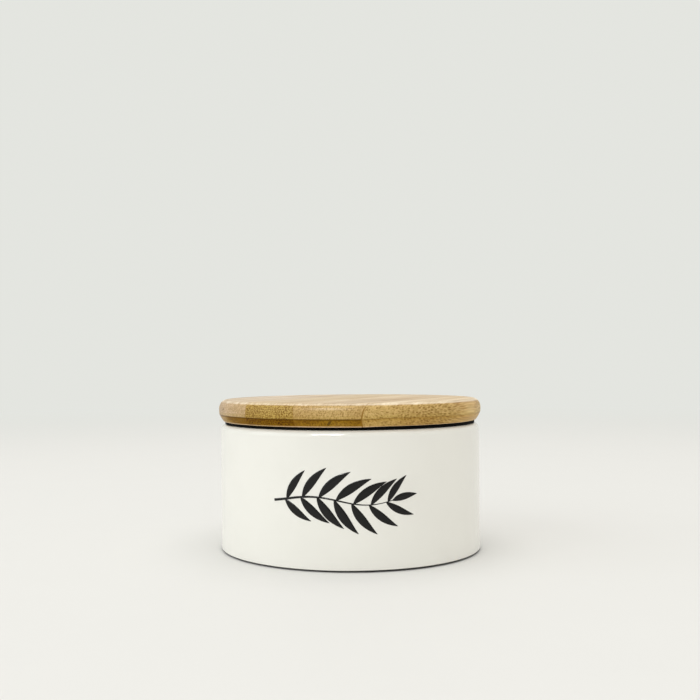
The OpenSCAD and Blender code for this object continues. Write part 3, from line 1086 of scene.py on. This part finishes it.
# A nose on the pot's knuckle that the lid's leaf comes to rest on.
def makeStop(made, start, end):
    p = leaves
    y, z = p["axis"]
    turn = math.radians(p["open"])
    reach = p["stopReach"]
    shape = [(1.5, -1.1)] + arc((reach - 0.45, -0.65), 0.45, -90, 0, 5)
    shape += arc((reach - 0.45, 0.05), 0.45, 0, 90, 5) + [(1.5, 0.5)]
    rings = []
    for x, inset in ((start, 0.1), (start + 0.1, 0), (end - 0.1, 0), (end, 0.1)):
        ring = []
        for u, v in shape:
            u -= inset if u > 2 else 0
            v += inset if v < -0.3 else -inset
            back = y + v * math.cos(turn) + u * math.sin(turn)
            up = z - v * math.sin(turn) + u * math.cos(turn)
            ring.append(made.verts.new(Vector((x, back, up)) * mm))
        rings.append(ring)
    skin(made, rings, ends=True)


# A hole for each of the two screws, as makePlate takes them.
def screwHoles(z, backRadius, frontRadius):
    return [(side * leaves["screwX"], z, backRadius, frontRadius) for side in (-1, 1)]


def makeLeaf(name, plate, steps, holes, knuckles, up, body, material, node):
    made = bmesh.new()
    makePlate(made, *plate, steps, holes)
    for start, end, stop in knuckles:
        rollKnuckle(made, start, end, up)
        if stop is not None:
            makeStop(made, stop, stop + leaves["stopWidth"])
    bmesh.ops.recalc_face_normals(made, faces=made.faces)
    finishPiece(name, made, body, "steel", material, node)


def makeLeaves(steel):
    p = leaves
    back = lid["back"]
    front = back + p["sheet"]
    steps = ((back, 0.0), (front - p["ease"], 0.0), (front - 0.05, 0.05), (front, p["ease"]))
    head = screws["pot"]["head"]
    holes = screwHoles(p["potScrewZ"], head - p["sink"], head + p["clearance"])
    near, far = p["sideKnuckle"]
    knuckles = ((-far, -near, -far), (near, far, far - p["stopWidth"]))
    makeLeaf("hinge_leaf_rolled_pot", p["potPlate"], steps, holes, knuckles, 1, "pot_body", steel,
             "hinge_leaf_pot")
    head = screws["lid"]["head"]
    holes = screwHoles(p["lidScrewZ"], head - p["sink"], head + p["clearance"])
    knuckles = ((-p["midKnuckle"], p["midKnuckle"], None),)
    makeLeaf("hinge_leaf_rolled_lid", p["lidPlate"], steps, holes, knuckles, -1, "lid_body", steel,
             "hinge_leaf_lid")


def makePad(silicone):
    ease = leaves["padEase"]
    back, front = pot["flat"] + 0.01, lid["back"] - 0.01
    steps = ((back, ease), (back + ease, 0.0), (front - ease, 0.0), (front, ease))
    made = bmesh.new()
    holes = screwHoles(leaves["potScrewZ"], pot["boltHole"], pot["boltHole"])
    makePlate(made, *leaves["potPlate"], steps, holes)
    bmesh.ops.recalc_face_normals(made, faces=made.faces)
    finishPiece("hinge_pad_soft", made, "pot_body", "silicone", silicone, "hinge_pad")


# Turned parts are drawn along Z, and then laid on the pin's line or driven in from the back.
def lay(made, x, y, z, axis):
    place = Matrix.Translation(Vector((x, y, z)) * mm)
    turn = Matrix.Rotation(math.radians(90), 4, axis)
    bmesh.ops.transform(made, matrix=place @ turn, verts=made.verts)
    return made


def driveIn(made, x, y, z):
    return lay(made, x, y, z, "X")


pin = {"radius": 1.2, "half": 10.02, "end": 10.7, "head": 1.76}


def makePin(material):
    p = pin
    head = [(0, p["end"]), (0.6, p["end"] - 0.03), (1.05, p["end"] - 0.13), (1.42, p["end"] - 0.3),
            (p["head"] - 0.08, p["half"] + 0.2), (p["head"], p["half"] + 0.1), (p["head"], p["half"])]
    top, bottom = (p["radius"], p["half"]), (p["radius"], -p["half"])
    shank = [top] + between(top, bottom, 20) + [bottom]
    outline = head + shank + [(r, -x) for r, x in reversed(head)]
    made = lay(revolve(outline, evenTurns(48)), 0, *leaves["axis"], "Y")
    finishPiece("hinge_pin_peened", made, "pot_body", "steel", material, "hinge_pin")


screws = {
    "face": 53.807,
    "pot": {"shank": 1.5, "core": 1.26, "pitch": 0.5, "head": 2.75, "length": 11.8, "point": 0.4},
    "lid": {"shank": 1.1, "core": 0.78, "pitch": 0.95, "head": 2.1, "length": 11.0, "point": 2.5},
    "socket": (2.0, 0.8),   # width across the flats and depth
    "cross": (2.6, 0.55, 0.7),      # length, width and depth
}


def screwOutline(p):
    cone = p["head"] - p["shank"]
    outline = [(0, 0)] + between((0, 0), (p["head"] - 0.14, 0), 4)
    outline += [(p["head"] - 0.14, 0), (p["head"] - 0.05, 0.03), (p["head"] - 0.13, 0.13)]
    outline += [(p["shank"], cone), (p["shank"], cone + 0.8)]
    z = cone + 0.8
    while z + p["pitch"] < p["length"] - p["point"]:
        outline += [(p["core"], z + 0.35 * p["pitch"]), (p["core"], z + 0.55 * p["pitch"])]
        z += p["pitch"]
        outline.append((p["shank"], z))
    end = p["length"] - p["point"]
    tip = 0.75 * p["core"] if p["point"] < 1 else 0.04
    outline += [(p["core"], end), (tip, p["length"] - 0.02), (0, p["length"])]
    return outline


def socketCutter(x, z):
    flats, depth = screws["socket"]
    return rodCutter(flats / 1.732, 2 * depth, 6, x, screws["face"], z)


def crossCutter(x, z, turn):
    length, width, depth = screws["cross"]
    made = bmesh.new()
    bmesh.ops.create_cube(made, size=1.0)
    for v in made.verts:
        share = 0.45 if v.co.z > 0 else 1.0     # it narrows as it goes in
        size = Vector((length * share, width * (0.6 + 0.4 * share), 2 * depth))
        v.co = v.co * size * mm
    bmesh.ops.transform(made, matrix=Matrix.Rotation(turn, 4, "Z"), verts=made.verts)
    return addObject("cutter", asMesh("cutter", driveIn(made, x, screws["face"], z)))


def makeScrews(material):
    p = screws
    for side, word in ((-1, "left"), (1, "right")):
        x = side * leaves["screwX"]
        z = leaves["potScrewZ"]
        made = driveIn(revolve(screwOutline(p["pot"]), evenTurns(48)), x, p["face"], z)
        piece = finishPiece("bolt_countersunk_" + word, made, "pot_body", "steel", material,
                            "pot_screw_" + word)
        cutAway(piece, [socketCutter(x, z)])
        z = leaves["lidScrewZ"]
        made = driveIn(revolve(screwOutline(p["lid"]), evenTurns(48)), x, p["face"], z)
        piece = finishPiece("wood_screw_" + word, made, "lid_body", "steel", material,
                            "lid_screw_" + word)
        cutAway(piece, [crossCutter(x, z, math.radians(turn + 17 * side)) for turn in (0, 90)])


fixings = {
    "softWasher": {"inner": 1.6, "outer": 3.5, "thick": 1.0, "ease": 0.28},
    "steelWasher": {"inner": 1.55, "outer": 3.5, "thick": 0.6, "ease": 0.1},
    "nut": {"flats": 5.5, "hex": 2.4, "height": 6.0, "dome": 2.5, "bore": 1.53, "thread": 4.8},
}


def washerOutline(p):
    e = p["ease"]
    inner, outer, top = p["inner"] + e, p["outer"] - e, p["thick"] - e
    outline = arc((outer, e), e, -90, 0, 5) + arc((outer, top), e, 0, 90, 5)
    return outline + arc((inner, top), e, 90, 180, 5) + arc((inner, e), e, 180, 270, 5)


# An acorn nut: six flats whose corners are turned off at both ends, and a polished dome.
def nutShape(point):
    p = fixings["nut"]
    if point.z > p["hex"] - 0.001 or math.hypot(point.x, point.y) < p["bore"] + 0.6:
        return point
    turn = math.atan2(point.y, point.x) % (math.pi / 3) - math.pi / 6
    flat = p["flats"] / 2 / math.cos(turn)
    scale = min(flat / math.hypot(point.x, point.y), 1)
    return Vector((point.x * scale, point.y * scale, point.z))


def nutOutline():
    p = fixings["nut"]
    corner = p["flats"] / 1.732
    outline = [(0, p["thread"]), (p["bore"] - 0.2, p["thread"] - 0.2), (p["bore"], p["thread"] - 0.5)]
    outline += between((p["bore"], p["thread"] - 0.5), (p["bore"], 0.3), 4)
    outline += [(p["bore"], 0.3), (p["bore"] + 0.3, 0), (p["flats"] / 2 - 0.12, 0), (corner, 0.3)]
    outline += [(corner, p["hex"] - 0.35), (p["flats"] / 2 - 0.05, p["hex"] - 0.002)]
    outline += [(p["dome"] + 0.04, p["hex"]), (p["dome"] - 0.02, p["hex"] + 0.12)]
    rise = p["height"] - p["dome"]
    outline += [(p["dome"] - 0.02, rise - 0.4)] + arc((0, rise), p["dome"] - 0.01, 0, 84, 12)
    return outline + [(0, p["height"])]


def makeFixings(steel, silicone):
    soft = fixings["softWasher"]
    hard = fixings["steelWasher"]
    z = leaves["potScrewZ"]
    for side, word in ((-1, "left"), (1, "right")):
        x = side * leaves["screwX"]
        made = driveIn(revolve(washerOutline(soft), evenTurns(72)), x, pot["land"], z)
        finishPiece("washer_soft_" + word, made, "pot_body", "silicone", silicone,
                    "soft_washer_" + word)
        y = pot["land"] - soft["thick"]
        made = driveIn(revolve(washerOutline(hard), evenTurns(72)), x, y, z)
        finishPiece("washer_flat_" + word, made, "pot_body", "steel", steel, "steel_washer_" + word)
        y -= hard["thick"]
        made = driveIn(revolve(nutOutline(), evenTurns(72), nutShape), x, y, z)
        finishPiece("nut_acorn_" + word, made, "pot_body", "steel", steel, "acorn_nut_" + word,
                    sharp=20)


# Ornament: a sprig in raised black enamel, drawn as brush strokes on the pot's front.
sprig = {
    "middle": (-4.4, 26.3),
    "length": 50.5,
    "leaves": 7,
    "leafLength": 15.0,
    "leafWidth": 1.75,
    "raise": 0.22,
    "sink": 0.1,
    "stem": 0.42,
    "ink": (0.002, 0.002, 0.002),
    "inkWorn": (0.007, 0.0065, 0.006),
}


# A stroke is a row of (along, up, half width) in millimetres on the unrolled wall.
def enamelStroke(made, row):
    rings = []
    for i, (u, v, half) in enumerate(row):
        before = row[max(i - 1, 0)]
        after = row[min(i + 1, len(row) - 1)]
        run = Vector((after[0] - before[0], after[1] - before[1])).normalized()
        ring = []
        for t in evenTurns(12):
            side = half * math.cos(t)
            lift = math.sin(t) * (sprig["raise"] if math.sin(t) > 0 else sprig["sink"])
            lift *= min(half / 0.5, 1)
            a = (u - side * run.y) / pot["radius"]
            r = pot["radius"] + lift
            at = Vector((r * math.sin(a), -r * math.cos(a), v + side * run.x))
            ring.append(made.verts.new(at * mm))
        rings.append(ring)
    skin(made, rings, ends=True)


def leafStroke(u, v, angle, length, width, curl):
    row = []
    for i in range(15):
        t = i / 14
        turn = angle + curl * (t - 0.3)
        half = width * math.sin(math.pi * min(t * 0.96 + 0.03, 1)) ** 0.85 * (1.15 - 0.45 * t)
        row.append((u, v, max(half, 0.06)))
        u += math.cos(turn) * length / 14
        v += math.sin(turn) * length / 14
    return row


def stemPoint(t):
    p = sprig
    u = p["middle"][0] + (t - 0.5) * p["length"]
    return u, p["middle"][1] + 2.2 * math.sin(2.4 * t * math.pi - 0.6) * (0.45 + 0.4 * t)


def makeSprig(material):
    p = sprig
    made = bmesh.new()
    stem = [stemPoint(i / 40) for i in range(37)]
    enamelStroke(made, [(u, v, p["stem"] * (1.15 - 0.8 * i / 36)) for i, (u, v) in enumerate(stem)])
    for k in range(p["leaves"]):
        t = 0.1 + 0.76 * k / (p["leaves"] - 1)
        u, v = stemPoint(t)
        ahead = stemPoint(t + 0.02)
        heading = math.atan2(ahead[1] - v, ahead[0] - u)
        grow = 0.72 + 0.5 * math.sin(math.pi * (0.15 + 0.8 * t))
        for side in (-1, 1):
            lean = heading + side * math.radians(52 - 10 * t)
            length, width = [size * grow * 0.84 for size in (p["leafLength"], p["leafWidth"])]
            enamelStroke(made, leafStroke(u + 0.35 * side, v, lean, length, width, -0.5 * side))
    tip = stemPoint(0.9)
    length, width = p["leafLength"], p["leafWidth"]
    enamelStroke(made, leafStroke(*tip, 0.25, length * 0.68, width * 0.8, -0.3))
    bmesh.ops.recalc_face_normals(made, faces=made.faces)
    finishPiece("enamel_sprig", made, "pot_body", "black_enamel", material, sharp=60)


# Stage and light. A lamp is set by its place and target, in metres, its size, power and colour.
studio = {
    "floor": (0.725, 0.72, 0.70),
    "floorRadius": 12.0,
    "far": (0.775, 0.785, 0.745),
    "edge": (0.35, 1.3),    # where the floor turns into the background, in metres
    "room": 0.765,
    "roomColor": (1.0, 0.985, 0.945),
}


# A place round the pot: degrees to the left of the front, degrees up, and metres away.
def around(left, up, away):
    left, up = math.radians(left), math.radians(up)
    return Vector((-math.sin(left) * math.cos(up), -math.cos(left) * math.cos(up), math.sin(up))) * away


pale = (1.0, 0.99, 0.97)
lamps = {
    "window": {
        "place": around(62, 27, 2.4), "target": (0, 0, 0.03), "size": (3.0, 2.0),
        "power": 18.0, "color": (0.89, 0.955, 1.0),
    },
    "strip": {
        "place": around(21, 44, 1.7), "target": (0, 0, 0.051), "size": (0.68, 0.08),
        "power": 24.0, "color": pale,
    },
    "top": {
        "place": Vector((0.1, 0.0, 1.7)), "target": (0, 0, 0.03), "size": (1.6, 1.6),
        "power": 13.0, "color": pale,
    },
}


def backgroundRay(tree):
    path = addNode(tree, "LightPath").outputs
    seen = calc(tree, "MAXIMUM", path["Is Camera Ray"], path["Is Glossy Ray"])
    return calc(tree, "MAXIMUM", seen, path["Is Transmission Ray"])


def makeFloor():
    made = bmesh.new()
    bmesh.ops.create_circle(made, cap_ends=True, segments=96, radius=studio["floorRadius"])
    mesh = asMesh("floor", made)
    floor = addObject("floor", mesh)
    made, tree, shader, where = newMaterial("floor")
    far = remap(tree, vectorCalc(tree, "LENGTH", where), *studio["edge"])
    grain = noiseTexture(tree, where, 30.0, 4.0)
    near = mixColor(tree, grain, tuple(0.985 * c for c in studio["floor"]), studio["floor"])
    plug(tree, shader, {"Base Color": near, "Roughness": 0.6})
    glow = addNode(tree, "Emission", {"Color": opaque(studio["far"]), "Strength": 1.0})
    share = times(tree, far, backgroundRay(tree))
    bsdf = tree.nodes["Principled BSDF"].outputs[0]
    mix = addNode(tree, "MixShader", {0: share, 1: bsdf, 2: glow.outputs[0]})
    tree.links.new(mix.outputs[0], tree.nodes["Material Output"].inputs["Surface"])
    mesh.materials.append(made)


def makeRoom():
    world = bpy.data.worlds.new("room")
    world.use_nodes = True
    bpy.context.scene.world = world
    tree = world.node_tree
    back = tree.nodes["Background"]
    plug(tree, back.inputs, {"Color": opaque(studio["roomColor"]), "Strength": studio["room"]})
    plain = addNode(tree, "Background", {"Color": opaque(studio["far"]), "Strength": 1.0})
    mix = addNode(tree, "MixShader", {0: backgroundRay(tree), 1: back.outputs[0], 2: plain.outputs[0]})
    tree.links.new(mix.outputs[0], tree.nodes["World Output"].inputs["Surface"])


def makeLamp(name, place, target, size, power, color):
    data = bpy.data.lights.new(name, "AREA")
    data.shape = "RECTANGLE"
    data.size, data.size_y = size
    data.energy = power
    data.color = color
    lamp = addObject(name, data)
    aim = (Vector(target) - place).to_track_quat("-Z", "Y")
    lamp.matrix_world = Matrix.Translation(place) @ aim.to_matrix().to_4x4()
    lamp.visible_diffuse = name != "strip"      # the strip only shows in gloss


def makeLights():
    for name, lamp in lamps.items():
        makeLamp(name, **lamp)


makeFloor()
makeRoom()
makeLights()
print("stage and light ready")

glaze = glazeMaterial()
boardBamboo = boardMaterial()
plugBamboo = plugMaterial()
silicone = siliconeMaterial()
sheetSteel = brushedSteelMaterial()
turnedSteel = turnedSteelMaterial("turned steel")
screwSteel = turnedSteelMaterial("screw steel", darkRecesses=True)
enamel = enamelMaterial()
makePot(glaze)
print("pot turned")
makeLid(boardBamboo)
makePlug(plugBamboo)
makeSeal(silicone)
print("lid built")
makeLeaves(sheetSteel)
makePad(silicone)
makePin(turnedSteel)
makeScrews(screwSteel)
makeFixings(turnedSteel, silicone)
print("hinge and fasteners made")
makeSprig(enamel)
print("ornament drawn")
